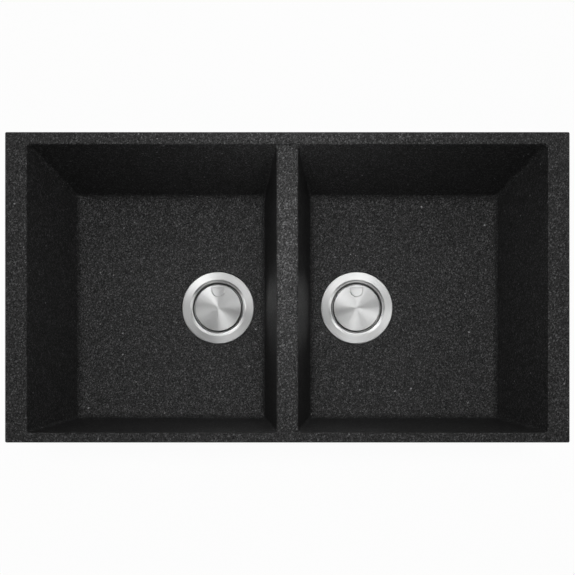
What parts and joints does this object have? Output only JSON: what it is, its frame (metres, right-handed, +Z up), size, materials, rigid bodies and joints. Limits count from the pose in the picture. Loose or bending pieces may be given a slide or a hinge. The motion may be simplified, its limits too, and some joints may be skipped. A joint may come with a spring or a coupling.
{
  "type": "double bowl kitchen sink",
  "caption": "Rectangular composite kitchen sink with two equal bowls, a lowered divider and, in each bowl, a basket strainer waste under a flat lift-off cover.",
  "frame": {"origin": "centre of the outline, in the plane of the lower ends of the two waste outlets", "axes": "+X along the long side to the right, +Y to the back edge, +Z up out of the bowls"},
  "size_m": [0.76, 0.418, 0.2948],
  "materials": {
    "composite": "matt black granite composite, finely speckled with grey",
    "brushed_steel": "stainless steel, brushed round the axis",
    "white_plastic": "moulded polypropylene, fine matt",
    "brass": "turned, plain",
    "rubber": "moulded, matt"
  },
  "bodies": {
    "sink": {"sink_body": "composite", "left_strainer_flange": "brushed_steel", "left_flange_seal": "rubber", "left_underside_seal": "rubber", "left_waste_body": "white_plastic", "left_hub_nut": "brass", "left_clamp_screw": "brushed_steel", "right_strainer_flange": "brushed_steel", "right_flange_seal": "rubber", "right_underside_seal": "rubber", "right_waste_body": "white_plastic", "right_hub_nut": "brass", "right_clamp_screw": "brushed_steel"},
    "left_strainer": {"left_basket": "brushed_steel", "left_basket_seal": "rubber", "left_seal_washer": "brushed_steel", "left_stem": "brushed_steel", "left_stem_grip": "white_plastic"},
    "right_strainer": {"right_basket": "brushed_steel", "right_basket_seal": "rubber", "right_seal_washer": "brushed_steel", "right_stem": "brushed_steel", "right_stem_grip": "white_plastic"},
    "left_cover_plate": {"left_cover": "brushed_steel", "left_cover_clip": "white_plastic"},
    "right_cover_plate": {"right_cover": "brushed_steel", "right_cover_clip": "white_plastic"}
  },
  "joints": [
    {"name": "left_basket_lift", "type": "slide", "parent": "sink", "child": "left_strainer", "axis": [0, 0, 1], "range_m": [0, 0.07]},
    {"name": "left_cover_lift", "type": "slide", "parent": "left_strainer", "child": "left_cover_plate", "axis": [0, 0, 1], "range_m": [0, 0.02]},
    {"name": "right_basket_lift", "type": "slide", "parent": "sink", "child": "right_strainer", "axis": [0, 0, 1], "range_m": [0, 0.07]},
    {"name": "right_cover_lift", "type": "slide", "parent": "right_strainer", "child": "right_cover_plate", "axis": [0, 0, 1], "range_m": [0, 0.02]}
  ]
}
